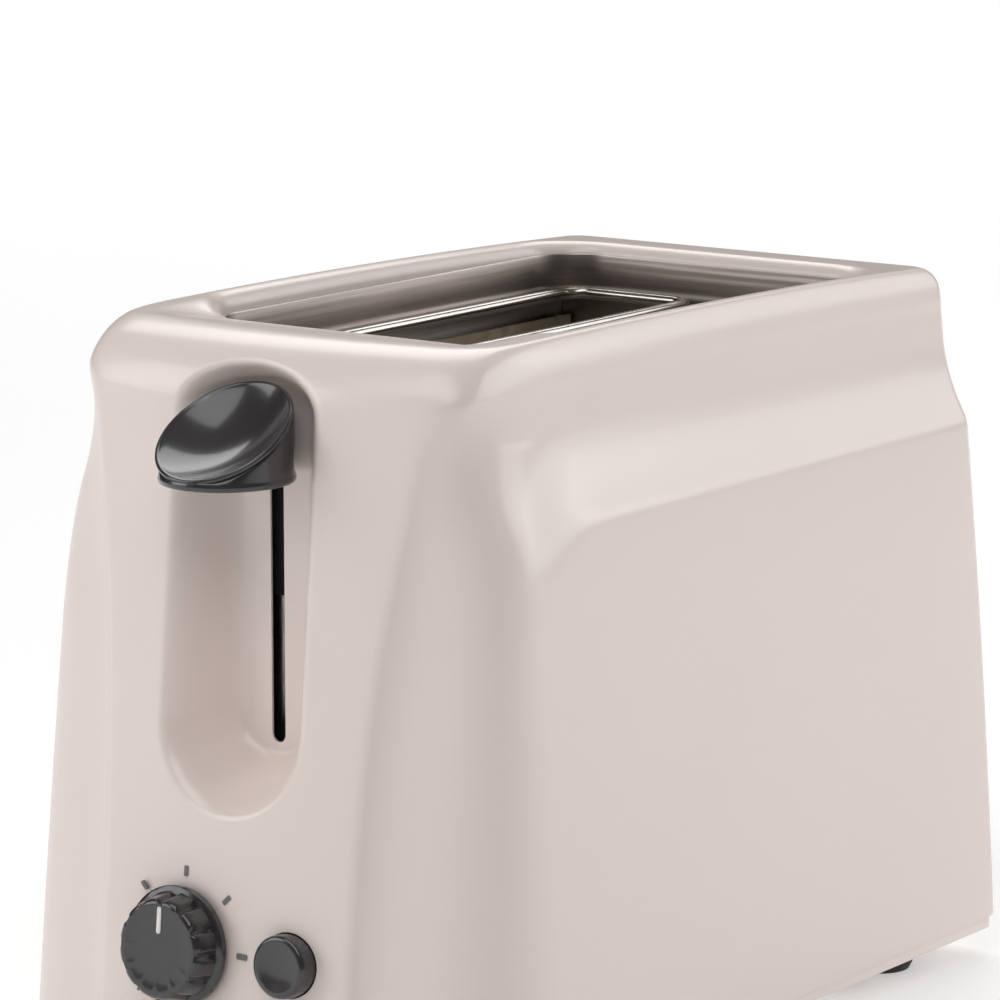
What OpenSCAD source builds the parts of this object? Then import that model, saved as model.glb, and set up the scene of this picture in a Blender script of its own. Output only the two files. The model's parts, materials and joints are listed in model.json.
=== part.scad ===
// Two-slot pop-up toaster with a moulded cool-wall shell.
// Origin: middle of the footprint, on the table. X is the width, +Y runs from the
// lever end to the back, +Z is up. All lengths are millimetres.

/* [Shell] */
// Height of the top's crest above the table
crest_z = 183.5; // [182.5:0.5:184]
// Distance of the lever end from the middle of the bread opening, at the crest
end_reach = 118.6; // [118:0.2:119.4]
// Distance of the back from the middle of the bread opening, at the crest
back_reach = 97; // [96:0.5:98]
// Outward rake of the lever end, per millimetre down
end_rake = 0.1; // [0.08:0.01:0.11]
// Outward rake of the back, per millimetre down
back_rake = 0.02; // [0.01:0.005:0.03]
// Radius of the soft fall from the top to the lever end
fall_r = 15; // [12:1:18]
// Rise of the crest in the middle of its length
crown = 2.6; // [1.5:0.1:3]
// Wall thickness of the shell
wall = 2.6; // [2.2:0.1:3]
// Half width of the lever end's raised band near the table
band_foot = 36; // [34:0.5:38]
// Extra half width of that band near the top
band_spread = 11.2; // [10:0.2:12]

/* [Thumb scoop and lever] */
// Half width of the scoop that the lever runs in
scoop_half = 22; // [21:0.5:23]
// Depth of the scoop's lower end below the crest
scoop_foot = 112.5; // [111.5:0.5:113.5]
// Width of the lever slot
slot_w = 4; // [3.8:0.1:4.4]
// Travel of the lever from up to latched
lever_travel = 62; // [58:1:62]
// Diameter of the carriage guide rod
rod_d = 6; // [5:0.5:6]
// Radial running clearance between slider and rod
rod_play = 0.05; // [0.02:0.01:0.08]

/* [Bread opening] */
// Half width of the opening in the top
well_half_x = 50; // [49.5:0.1:50.2]
// Half length of the opening in the top
well_half_y = 77.1; // [76.8:0.1:77.4]
// Corner radius of the opening
well_r = 15; // [12:1:17]
// Depth of the metal well floor below the crest
well_depth = 15.5; // [15:0.5:16]
// Width of each bread slot
slot_x = 36; // [34:0.5:36]
// Length of each bread slot
slot_y = 142; // [138:1:142]
// Distance of each bread slot's middle from the centre line
slot_off = 23.5; // [23.5:0.1:24]

/* [Oven] */
// Thickness of the heater boards
mica_t = 0.8; // [0.6:0.1:1]
// Number of ribbon turns on each heater board
turns = 14; // [10:1:14]
// Gap between the two guides of a slot with the lever up
guide_gap = 32; // [31:0.5:32]
// Travel of each guide towards the bread
guide_travel = 6; // [5:0.5:6]
// Number of upright wires in each guide
guide_wires = 9; // [7:1:11]
// Diameter of the upright guide wires
guide_wire_d = 1.6; // [1.4:0.1:1.8]

/* [Controls] */
// Height of the browning dial's middle above the table
dial_z = 40; // [38:0.5:42]
// Diameter of the browning dial
dial_d = 29; // [26:1:30]
// Sideways place of the browning dial
dial_x = -10; // [-11:0.5:-9]
// Sideways place of the cancel button
button_x = 21; // [20.5:0.5:22]
// Diameter of the cancel button
button_d = 15; // [13:0.5:16]

/* [Base] */
// Height of the shell's lower edge above the table
shell_foot_z = 10; // [10:0.5:11]
// Thickness of the base pan
pan_t = 3; // [2.6:0.1:3]
// Diameter of the rubber feet
foot_d = 18; // [14:1:20]
// Diameter of the hole where the mains lead enters
inlet_d = 7; // [6:0.5:8]

/* [Hidden] */

SHELL = [0.93, 0.89, 0.86];
KNOB = [0.24, 0.23, 0.24];
TIN = [0.72, 0.70, 0.67];
STEEL = [0.62, 0.62, 0.62];
MICA = [0.74, 0.66, 0.50];
COPPER = [0.72, 0.40, 0.22];
BOARD = [0.24, 0.42, 0.25];
RUBBER = [0.13, 0.13, 0.13];
NYLON = [0.87, 0.86, 0.81];
BLACK = [0.20, 0.20, 0.22];
BLUE = [0.30, 0.34, 0.45];
SLEEVE = [0.75, 0.25, 0.20];

well_y = 21.5;
depth = crest_z - shell_foot_z;
gap = 0.3;

// ---------- shell surface, as rings of points ----------
shoulder_d = 11.5;
crest_half = 54.6;
collar_half = 58.8;
collar_rake = 0.09;
flare_top_d = 19.5;
pad_top_d = 42;
flare_out = 5.3;
pad_rake = 0.0925;
pad_ease = 0.00018;
back_shoulder = 6;
back_corner = 5;
end_bow = 0.002;

function lerp(a, b, t) = a + (b - a) * t;
function smooth(t) = let(c = min(1, max(0, t))) c * c * (3 - 2 * c);
function bezier(p, t) = pow(1 - t, 3) * p[0] + 3 * pow(1 - t, 2) * t * p[1]
    + 3 * (1 - t) * t * t * p[2] + t * t * t * p[3];
function quarter(d, r) = d >= r ? 1 : sqrt(1 - pow((r - d) / r, 2));

// half width of the band: it spreads upwards, then flares out into the shoulder
band_flare = 9;
band_inset = 4.6;
function band_half(d) = min(side_half(d) - band_inset,
    band_foot + band_spread / (1 + pow(d / 60, 3)) + band_flare / (1 + pow(d / 15, 4)));
function end_y(d) = -end_reach - end_rake * d + fall_r * (1 - quarter(d, fall_r));
function back_y(d) = back_reach + back_rake * d - back_shoulder * (1 - quarter(d, back_shoulder));

// half width of the side wall: shoulder, collar, flare, then the side pad
function collar(d) = collar_half + collar_rake * (d - shoulder_d)
    + (d > flare_top_d ? flare_out * pow((d - flare_top_d) / (pad_top_d - flare_top_d), 2) : 0);
function pad(d) = collar(pad_top_d) + pad_rake * (d - pad_top_d)
    - pad_ease * pow(d - pad_top_d, 2);
function side_half(d) =
    d < shoulder_d ? lerp(crest_half, collar_half, quarter(d, shoulder_d))
    : d < pad_top_d ? collar(d) : pad(d);
function soft_half(d) = d < flare_top_d ? side_half(d)
    : lerp(side_half(flare_top_d), pad(max(d, 78)) - 0.8, smooth((d - flare_top_d) / 60));

// depth of the thumb scoop's bowl at a place on the lever end
scoop_floor = -108.4;
scoop_top_d = 17;
scoop_top_r = 13;
scoop_low_d = scoop_foot - scoop_half;
function scoop_radius(x, d) = d < scoop_top_d ? norm([x / scoop_half, (scoop_top_d - d) / scoop_top_r])
    : norm([x, max(0, d - scoop_low_d)]) / scoop_half;
function scoop(x, d, w) = max(0, scoop_floor - end_y(d) - end_bow * x * x)
    * (1 - smooth((scoop_radius(x, d) * scoop_half / (scoop_half + w) - 0.42) / 0.58));

function valley(d, w) =
    let(e_half = band_half(d),
        e = [e_half - 0.6 * w, end_y(d) + end_bow * pow(e_half, 2) + w],
        v = smooth((d - 8) / 60),
        s = smooth((d - 20) / 60),
        side_y = -80 - 18 * smooth(d / 44))
    [e, e + [1.5 + 4.5 * v - 0.5 * w, 3 + 7 * v],
        [soft_half(d) - w, e[1] + lerp(5, 2.5, s)],
        [side_half(d) - w, side_y]];

front_xs = [0, 3, 6, 9, 12, 15, 17.5, 20, 22, 24];
function front_point(x, d, w) =
    [x, end_y(d) + w + end_bow * pow(x, 2) + scoop(x, d, w)];

// right half of a level ring, from the middle of the lever end to the middle of the back
function half_ring(d, w) =
    let(v = valley(d, w), last = front_xs[9], half = side_half(d) - w, back = back_y(d) - w)
    concat(
        [for (x = front_xs) front_point(x, d, w)],
        [for (i = [1:2]) front_point(lerp(last, v[0][0], i / 3), d, w)],
        [for (i = [0:8]) bezier(v, i / 8)],
        [for (i = [1:5]) [half, lerp(v[3][1], back - back_corner, i / 5)]],
        [for (i = [1:4]) [half - back_corner * (1 - cos(i * 22.5)),
            back - back_corner * (1 - sin(i * 22.5))]],
        [for (i = [1:4]) [(half - back_corner) * (1 - i / 4), back]]);

// the same count of points around the bread opening, grown by off
function half_opening(off) =
    let(r = well_r + off, cx = well_half_x - well_r, cy = well_half_y - well_r,
        front = -well_half_y - off)
    concat(
        [for (x = front_xs) [x * 0.85, front]],
        [for (i = [1:2]) [lerp(24 * 0.85, cx, i / 3), front]],
        [for (i = [0:8]) [cx + r * sin(i * 11.25), -cy - r * cos(i * 11.25)]],
        [for (i = [1:5]) [cx + r, lerp(-cy, cy, i / 5)]],
        [for (i = [1:4]) [cx + r * cos(i * 22.5), cy + r * sin(i * 22.5)]],
        [for (i = [1:4]) [cx * (1 - i / 4), cy + r]]);

function rise(y, d) = -crown * pow((y + 40) / 130, 2) * max(0, 1 - d / pad_top_d);
function whole_ring(half, d) =
    let(n = len(half))
    [for (i = [0:2 * n - 3])
        let(p = i < n ? half[i] : half[2 * n - 2 - i], side = i < n ? 1 : -1)
        [side * p[0], p[1] + well_y, crest_z - d + rise(p[1], d)]];

outer_ds = [depth, 153, 138, 125, 117, 113, 110.5, 107.5, 104, 100, 95, 90, 83, 73, 63, 55, 48,
    42.5, 41.5, 38, 34, 29, 24, 19, 14.5, 11.5, 8.5, 6, 3.6, 1.8, 0.6, 0];
inner_ds = [5, 11.5, 18, 26, 34, 42, 48, 58, 73, 90, 97, 103, 108, 112, 117, 133, depth - wall];
lip_r = 4;
lip_foot = 6;
function lip(a) = [lip_r * (1 - sin(a)), lip_r * (1 - cos(a))];

shell_rings = concat(
    [for (d = outer_ds) whole_ring(half_ring(d, 0), d)],
    [for (a = [0, 45, 90]) whole_ring(half_opening(lip(a)[0]), lip(a)[1])],
    [whole_ring(half_opening(0), lip_foot), whole_ring(half_opening(2.4), lip_foot)],
    [for (d = inner_ds) whole_ring(half_ring(d, wall), d + wall)]);

module ring_solid(rings) {
    n = len(rings[0]);
    m = len(rings);
    faces = [for (j = [0:m - 1], i = [0:n - 1])
        let(a = j * n + i, b = j * n + (i + 1) % n,
            c = ((j + 1) % m) * n + (i + 1) % n, e = ((j + 1) % m) * n + i)
        each [[a, e, b], [b, e, c]]];
    polyhedron(points = [for (r = rings) each r], faces = faces);
}

// ---------- frame of the raked lever end: +Z straight out, +Y up the face ----------
rake_a = atan(end_rake);
function face_y(z) = well_y - end_reach - end_rake * (crest_z - z);
module on_face(x, z) {
    translate([x, face_y(z), z]) rotate([90 - rake_a, 0, 0]) children();
}

// ---------- shared places ----------
plate_t = 1;
front_plate_y = well_y - well_half_y;
rear_plate_y = well_y + well_half_y;
liner_t = 0.8;
liner_floor_z = crest_z - well_depth;
plate_top_z = liner_floor_z - liner_t;
oven_mid_y = (front_plate_y + rear_plate_y) / 2;
oven_len = rear_plate_y - front_plate_y;
oven_half_x = 50;
pan_top_z = shell_foot_z;
pan_low_z = pan_top_z - pan_t;
rod_x = -12;
rod_y = front_plate_y - 14;
plate_y = front_plate_y - 7;
carriage_top = 158;
lifter_z = 104;
lifter_h = 7;
pcb_back = -24;
pcb_t = 1.6;
tray_half = 46;
tray_mouth = tray_half + 1.5;
tray_z = pan_top_z + 0.6;
tray_front = front_plate_y + 8;
tray_back = well_y + back_y(depth) - 4;
screw_r = 1.6;
boss_r = 5;
boss_spots = [[-69.4, -66], [69.4, -66], [-69.4, 104], [69.4, 104]];
plate_screw_ys = [front_plate_y - 4, rear_plate_y - plate_t + 5];
tab_x = 49.6;
foot_spots = [[-52, -82], [52, -82], [-58, 90], [58, 90]];
board_spots = [[-29, 20], [29, 20], [-29, -18], [29, -18]];
inlet_spot = [58, 70];

// lower end of the lever slot
slot_foot_z = crest_z - 97.9;

// lever knob, and the arm that ends inside its core
knob_y = well_y - 126.8;
knob_low_z = crest_z - 32.5;
rest_z = crest_z - 22.4;
arm_z = 151.5;
arm_h = 6;
arm_t = 2.4;
arm_start = knob_y + 2;
arm_play = 0.1;

module round_rect(x, y, r) {
    hull() {
        for (i = [-1, 1], j = [-1, 1])
            translate([i * (x / 2 - r), j * (y / 2 - r)]) circle(r, $fn = 48);
    }
}

// outline of the shell near the table, drawn in by w
function foot_outline(w) = [for (p = whole_ring(half_ring(depth, w), 0)) [p[0], p[1]]];

// ---------- shell and base ----------
module board_posts(r, deep) {
    on_face(0, dial_z)
        for (p = board_spots)
            translate([p[0], p[1], pcb_back + pcb_t - deep])
                cylinder(r = r, h = -pcb_back - pcb_t + deep - 3, $fn = 24);
}

module outer_shell() {
    color(SHELL)
    resize([0, 0, 0]) difference() {
        union() {
            ring_solid(shell_rings);
            for (p = boss_spots)
                translate([p[0], p[1], shell_foot_z]) cylinder(r = boss_r, h = 20, $fn = 24);
            board_posts(3.2, 0);
        }
        // lever slot through the floor of the scoop
        translate([0, well_y + scoop_floor, 0]) rotate([90, 0, 0])
            linear_extrude(30, center = true) hull() {
                translate([0, slot_foot_z + slot_w / 2]) circle(slot_w / 2, $fn = 20);
                translate([0, carriage_top + 8]) circle(slot_w / 2, $fn = 20);
            }
        for (p = boss_spots)
            translate([p[0], p[1], shell_foot_z - 1]) cylinder(r = screw_r, h = 16, $fn = 20);
        on_face(0, dial_z) for (p = board_spots)
            translate([p[0], p[1], pcb_back]) cylinder(r = 1.1, h = 12, $fn = 16);
        on_face(dial_x, dial_z) cylinder(r = 4.5, h = 12, center = true, $fn = 32);
        on_face(button_x, dial_z)
            cylinder(r = button_d / 2 + gap, h = 12, center = true, $fn = 40);
        // mouth of the crumb tray in the back
        translate([-tray_mouth, well_y + back_reach - 12, shell_foot_z - 1])
            cube([2 * tray_mouth, 40, 12.6]);
    }
}

module foot_hole(p) {
    translate([p[0], p[1], pan_low_z - 1]) cylinder(r = 3.05, h = pan_t + 2, $fn = 32);
}

module base_pan() {
    color(SHELL * 0.93)
    difference() {
        translate([0, 0, pan_low_z]) linear_extrude(pan_t) polygon(foot_outline(0.8));
        for (p = foot_spots) foot_hole(p);
        for (i = [-1, 1], y = plate_screw_ys)
            translate([i * tab_x, y, pan_low_z - 1]) cylinder(r = 1.25, h = pan_t + 2, $fn = 20);
        for (p = boss_spots) {
            translate([p[0], p[1], pan_low_z - 1]) cylinder(r = screw_r + 0.1, h = 5, $fn = 24);
            translate([p[0], p[1], pan_low_z - 1]) cylinder(r = 3.2, h = 2.4, $fn = 24);
        }
        translate([inlet_spot[0], inlet_spot[1], pan_low_z - 1])
            cylinder(r = inlet_d / 2 + 1.5, h = pan_t + 2, $fn = 40);
        // air inlets below the oven
        for (x = [-36:12:36], j = [-1, 1])
            translate([x, well_y + j * 36, pan_low_z - 1]) linear_extrude(pan_t + 2)
                square([4, 48], center = true);
    }
}

// upright strips on the pan that guide the crumb tray
runner_t = 2;
runner_h = 6;
module tray_runners() {
    color(SHELL * 0.93)
    for (i = [-1, 1])
        translate([i * (tray_half + 2.6) - runner_t / 2, front_plate_y + 2, pan_top_z])
            cube([runner_t, oven_len - 4, runner_h]);
}

module foot(p) {
    color(RUBBER)
    translate([p[0], p[1], 0]) {
        cylinder(r1 = foot_d / 2 - 1, r2 = foot_d / 2, h = 2, $fn = 48);
        translate([0, 0, 2]) cylinder(r = foot_d / 2, h = pan_low_z - 2, $fn = 48);
        translate([0, 0, pan_low_z]) cylinder(r = 3, h = pan_t, $fn = 32);
        translate([0, 0, pan_top_z]) cylinder(r1 = 3.5, r2 = 2.6, h = 1.6, $fn = 32);
    }
}
module foot_front_left() { foot(foot_spots[0]); }
module foot_front_right() { foot(foot_spots[1]); }
module foot_rear_left() { foot(foot_spots[2]); }
module foot_rear_right() { foot(foot_spots[3]); }

module screw(len, r) {
    translate([0, 0, -1.4]) cylinder(r = 2 * r, h = 1.4, $fn = 24);
    cylinder(r = r, h = len, $fn = 24);
}

module base_screws() {
    color(STEEL)
    for (p = boss_spots) translate([p[0], p[1], pan_low_z + 1.4]) screw(12, 1.5);
}

// ---------- well and oven ----------
bead_r = 1.5;
slot_r = 5;
module bead_corner(x, y, a) {
    translate([x, y, 0]) rotate(a) rotate_extrude(angle = 90, $fn = 48)
        translate([slot_r + bead_r, 0]) circle(bead_r, $fn = 20);
}
module slot_bead() {
    hx = slot_x / 2 - slot_r;
    hy = slot_y / 2 - slot_r;
    r = slot_r + bead_r;
    bead_corner(hx, hy, 0);
    bead_corner(-hx, hy, 90);
    bead_corner(-hx, -hy, 180);
    bead_corner(hx, -hy, 270);
    for (i = [-1, 1]) {
        translate([i * (hx + r), -hy, 0]) rotate([-90, 0, 0])
            cylinder(r = bead_r, h = 2 * hy, $fn = 20);
        translate([-hx, i * (hy + r), 0]) rotate([0, 90, 0])
            cylinder(r = bead_r, h = 2 * hx, $fn = 20);
    }
}

module well_liner() {
    top_z = crest_z - lip_foot + 1;
    color(TIN)
    translate([0, well_y, 0]) {
        difference() {
            translate([0, 0, plate_top_z]) linear_extrude(top_z - plate_top_z)
                round_rect(2 * well_half_x - 0.6, 2 * well_half_y - 0.6, well_r - 0.3);
            translate([0, 0, liner_floor_z]) linear_extrude(20)
                round_rect(2 * well_half_x - 2.2, 2 * well_half_y - 2.2, well_r - 1.1);
            for (i = [-1, 1]) translate([i * slot_off, 0, plate_top_z - 1]) linear_extrude(5)
                round_rect(slot_x, slot_y, slot_r);
        }
        for (i = [-1, 1]) translate([i * slot_off, 0, liner_floor_z + 0.6]) slot_bead();
    }
}

// openings of an end plate: guide rods, heater tabs and lifters
guide_low_z = 44;
guide_top_z = 158;
inner_guide_x = slot_off - guide_gap / 2;
outer_guide_x = slot_off + guide_gap / 2;
heater_x = 45.6;
heater_low_z = 30;
heater_top_z = 162;
tab_zs = [48, 140];
tab_w = 5;
tab_len = 8;
rod_room = 2;
// opening through an end plate between two sideways places and two heights
module plate_cut(x0, x1, y, z0, z1) {
    translate([min(x0, x1), y - plate_t, z0]) cube([abs(x1 - x0), 3 * plate_t, z1 - z0]);
}
module end_plate(y) {
    low_z = pan_top_z + 0.2;
    rear = y > 0;
    color(TIN)
    difference() {
        union() {
            translate([-oven_half_x, y, low_z])
                cube([2 * oven_half_x, plate_t, plate_top_z - low_z]);
            for (i = [-1, 1]) translate([i * tab_x - tab_w / 2, rear ? y : y - tab_len, low_z])
                cube([tab_w, plate_t + tab_len, 1]);
        }
        plate_cut(-tray_half - 0.6, tray_half + 0.6, y, 0, 22);
        for (i = [-1, 1]) {
            for (z = [guide_low_z - rod_room, guide_top_z - rod_room]) {
                plate_cut(i * (inner_guide_x - rod_room),
                    i * (inner_guide_x + guide_travel + rod_room), y, z, z + 2 * rod_room);
                plate_cut(i * (outer_guide_x + rod_room),
                    i * (outer_guide_x - guide_travel - rod_room), y, z, z + 2 * rod_room);
            }
            plate_cut(i * slot_off - 2, i * slot_off + 2, y,
                lifter_z - lever_travel - 2, lifter_z + lifter_h + 2);
            translate([i * tab_x, y + (rear ? 5 : -4), low_z - 1])
                cylinder(r = 1.3, h = 3, $fn = 20);
        }
        for (x = [-heater_x, 0, heater_x], z = tab_zs)
            plate_cut(x - 0.6, x + 0.6, y, z - 5.2, z + 5.2);
    }
}
module front_end_plate() { end_plate(front_plate_y); }
module rear_end_plate() { end_plate(rear_plate_y - plate_t); }

module plate_screws() {
    color(STEEL)
    for (i = [-1, 1], y = plate_screw_ys)
        translate([i * tab_x, y, pan_top_z + 1.2]) mirror([0, 0, 1]) screw(3, 1.2);
}

module reflector(side) {
    color(TIN)
    translate([side * (oven_half_x - 1) - 0.4, front_plate_y + 1.2, 24]) {
        cube([0.8, oven_len - 2.4, plate_top_z - 24.2]);
        translate([side > 0 ? -3 : 0.8, 0, 0]) cube([3, oven_len - 2.4, 0.8]);
    }
}
module left_reflector() { reflector(-1); }
module right_reflector() { reflector(1); }

module heater_board(x) {
    color(MICA)
    translate([x - mica_t / 2, 0, 0]) {
        translate([0, front_plate_y + 2, heater_low_z])
            cube([mica_t, oven_len - 4, heater_top_z - heater_low_z]);
        for (z = tab_zs) translate([0, front_plate_y - 2, z - 5])
            cube([mica_t, oven_len + 4, 10]);
    }
}
module left_heater_board() { heater_board(-heater_x); }
module centre_heater_board() { heater_board(0); }
module right_heater_board() { heater_board(heater_x); }

// resistance ribbon wound around a board, turn by turn
module heater_ribbon(x) {
    ribbon_w = 1.6;
    ribbon_t = 0.3;
    pitch = (heater_top_z - heater_low_z - 16) / (turns - 1);
    color(STEEL)
    for (i = [0:turns - 1])
        let(z = heater_low_z + 8 + i * pitch)
        if (abs(z - tab_zs[0]) > 6.2 && abs(z - tab_zs[1]) > 6.2)
            translate([x, oven_mid_y, z - ribbon_w / 2]) linear_extrude(ribbon_w) difference() {
                square([mica_t + 2 * ribbon_t + 0.1, oven_len - 3.9 + 2 * ribbon_t], center = true);
                square([mica_t + 0.1, oven_len - 3.9], center = true);
            }
}
module left_heater_ribbon() { heater_ribbon(-heater_x); }
module centre_heater_ribbon() { heater_ribbon(0); }
module right_heater_ribbon() { heater_ribbon(heater_x); }

module guide(x) {
    color(STEEL)
    translate([x, 0, 0]) {
        for (z = [guide_low_z, guide_top_z])
            translate([0, front_plate_y - 2, z]) rotate([-90, 0, 0])
                cylinder(r = 1, h = oven_len + 4, $fn = 24);
        for (i = [0:guide_wires - 1])
            let(y = lerp(front_plate_y + 8, rear_plate_y - 8, i / (guide_wires - 1)))
            translate([0, y, guide_low_z])
                cylinder(d = guide_wire_d, h = guide_top_z - guide_low_z, $fn = 16);
    }
}
module left_outer_guide() { guide(-outer_guide_x); }
module left_inner_guide() { guide(-inner_guide_x); }
module right_inner_guide() { guide(inner_guide_x); }
module right_outer_guide() { guide(outer_guide_x); }

// ---------- lift carriage ----------
bracket_z = 162;
bracket_t = 1.2;
bracket_x = -22;
bracket_w = 46;
module guide_rod() {
    color(STEEL)
    translate([rod_x, rod_y, pan_top_z]) cylinder(d = rod_d, h = bracket_z + 2 - pan_top_z, $fn = 48);
}

module rod_bracket() {
    color(TIN)
    difference() {
        union() {
            translate([bracket_x, rod_y - 8, bracket_z])
                cube([bracket_w, front_plate_y - 0.1 - rod_y + 8, bracket_t]);
            translate([bracket_x, front_plate_y - bracket_t - 0.1, bracket_z])
                cube([bracket_w, bracket_t, 5]);
        }
        translate([rod_x, rod_y, bracket_z - 2]) cylinder(d = rod_d + 0.1, h = 6, $fn = 48);
        // eye of the lift spring
        translate([spring_x - 1.5, rod_y - 1, bracket_z - 1]) cube([3, 2, 4]);
    }
}

module rod_bumper() {
    color(RUBBER)
    translate([rod_x, rod_y, carriage_top + gap]) difference() {
        cylinder(r = 5.5, h = bracket_z - carriage_top - gap, $fn = 32);
        translate([0, 0, -1]) cylinder(d = rod_d, h = 6, $fn = 48);
    }
}

slider_low_z = 118;
slider_arm_z = 142;
module slider_block() {
    color(BLACK)
    difference() {
        union() {
            translate([rod_x, rod_y, slider_low_z])
                cylinder(r = 6.5, h = carriage_top - slider_low_z, $fn = 40);
            translate([rod_x, rod_y - 4, slider_arm_z]) cube([16, 8, carriage_top - slider_arm_z]);
            translate([rod_x - 5, rod_y, slider_low_z]) cube([10, plate_y - rod_y, 30]);
        }
        translate([rod_x, rod_y, slider_low_z - 8])
            cylinder(d = rod_d + 2 * rod_play, h = 60, $fn = 48);
        // pocket of the lever arm
        translate([-arm_t / 2 - 0.05, rod_y - 5, arm_z - arm_play])
            cube([arm_t + 0.1, 8, arm_h + 2 * arm_play]);
    }
}

carriage_half = 27;
carriage_low_z = 101;
carriage_t = 1.4;
lug_t = 1.2;
module carriage_plate() {
    color(STEEL) {
        translate([0, plate_y, 0]) difference() {
            translate([-carriage_half, 0, carriage_low_z]) cube([2 * carriage_half, carriage_t, 50]);
            for (i = [-1, 1]) translate([i * 17 - 6, -1, slider_low_z]) cube([12, 4, 24]);
            translate([spring_x, -2, carriage_low_z + 5]) rotate([-90, 0, 0])
                cylinder(r = 1, h = 6, $fn = 20);
        }
        // lugs that carry the armature and hook the spring
        translate([-3, plate_y - 13, carriage_low_z]) cube([14, 13, lug_t]);
        translate([spring_x - 2, rod_y - 1, carriage_low_z]) cube([4, plate_y - rod_y + 1, lug_t]);
    }
}

module lever_arm() {
    color(STEEL)
    translate([-arm_t / 2, arm_start, arm_z]) cube([arm_t, rod_y + 2.9 - arm_start, arm_h]);
}

// oval dished thumb rest over a flat oval foot
knob_a = 15.8;
knob_b = 16.5;
knob_foot_t = 2;
knob_hollow_h = 7;
dish_a = 16.6;
dish_b = 18;
dish_tilt = 33;
dish_rim = 2.4;
module oval(a, b, h) {
    resize([2 * a, 2 * b, h]) cylinder(r = 10, h = 10, $fn = 40);
}
module on_rest(lift) {
    translate([0, knob_y, rest_z]) rotate([dish_tilt, 0, 0]) translate([0, 0, lift]) children();
}
module lever_knob() {
    color(KNOB)
    resize([0, 0, 0]) difference() {
        union() {
            translate([0, knob_y, knob_low_z]) oval(knob_a, knob_b, knob_foot_t);
            intersection() {
                translate([0, knob_y, knob_low_z]) oval(knob_a, knob_b, 24);
                hull() {
                    on_rest(-1) oval(dish_a, dish_b, 2.2);
                    translate([0, knob_y, knob_low_z]) oval(knob_a, knob_b, knob_foot_t);
                }
            }
            on_rest(0) oval(dish_a, dish_b, dish_rim);
        }
        // dish
        on_rest(2.6) resize([31, 34, 9]) sphere(10, $fn = 40);
        // hollow behind, and the arm's pocket
        translate([-20, knob_y + 7.5, knob_low_z + knob_foot_t]) cube([40, 20, knob_hollow_h]);
        translate([-arm_t / 2 - arm_play, arm_start - arm_play, arm_z - arm_play])
            cube([arm_t + 2 * arm_play, 30, arm_h + 2 * arm_play]);
    }
}

module bread_lifter(x) {
    start_y = plate_y + carriage_t;
    color(STEEL)
    translate([x, 0, 0]) {
        translate([-0.6, start_y, lifter_z]) cube([1.2, rear_plate_y + 5 - start_y, lifter_h]);
        for (i = [0:6])
            translate([0, lerp(front_plate_y + 14, rear_plate_y - 14, i / 6), lifter_z + lifter_h])
                rotate([0, 90, 0]) cylinder(r = 1, h = 14, center = true, $fn = 20);
    }
}
module left_bread_lifter() { bread_lifter(-slot_off); }
module right_bread_lifter() { bread_lifter(slot_off); }

// round wire swept along a path; each ring stands square to the path
function unit(v) = v / norm(v);
module wire(path, r, sides) {
    n = len(path);
    rings = [for (i = [0:n - 1])
        let(t = unit(path[min(i + 1, n - 1)] - path[max(i - 1, 0)]),
            u = unit(cross(t, abs(t[2]) < 0.9 ? [0, 0, 1] : [1, 0, 0])), v = cross(t, u))
        [for (k = [0:sides - 1]) path[i] + r * (cos(360 * k / sides) * u + sin(360 * k / sides) * v)]];
    polyhedron(
        points = [for (ring = rings) each ring],
        faces = concat(
            [[for (k = [0:sides - 1]) k]],
            [for (i = [0:n - 2], k = [0:sides - 1])
                let(a = i * sides + k, b = i * sides + (k + 1) % sides)
                each [[a, a + sides, b], [b, a + sides, b + sides]]],
            [[for (k = [0:sides - 1]) n * sides - 1 - k]]));
}

spring_turns = 18;
spring_r = 3;
spring_x = 17;
spring_low_z = 103;
spring_top_z = 161;
module lift_spring() {
    steps = spring_turns * 10;
    color(STEEL)
    wire([for (i = [0:steps])
        [spring_x + spring_r * cos(36 * i), rod_y + spring_r * sin(36 * i),
            lerp(spring_low_z, spring_top_z, i / steps)]], 0.5, 5);
}

armature_z = 99;
module armature_plate() {
    color(STEEL)
    translate([-2, plate_y - 13, armature_z]) cube([12, 11, carriage_low_z - armature_z]);
}

// ---------- latch magnet, board and controls ----------
magnet_x = 4;
magnet_y = plate_y - 7.5;
magnet_top = armature_z - lever_travel - 0.4;
magnet_foot_t = 1.6;
core_r = 2.8;
module magnet_frame() {
    color(STEEL)
    translate([magnet_x, magnet_y, pan_top_z]) {
        translate([-6, -6, 0]) cube([12, 19, magnet_foot_t]);
        translate([0, 0, magnet_foot_t])
            cylinder(r = core_r, h = magnet_top - pan_top_z - magnet_foot_t, $fn = 32);
    }
}
module magnet_coil() {
    color(COPPER)
    translate([magnet_x, magnet_y, pan_top_z + magnet_foot_t + 0.2]) difference() {
        cylinder(r = 6, h = magnet_top - pan_top_z - 4, $fn = 40);
        translate([0, 0, -1]) cylinder(r = core_r + 0.1, h = 40, $fn = 32);
    }
}

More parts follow.
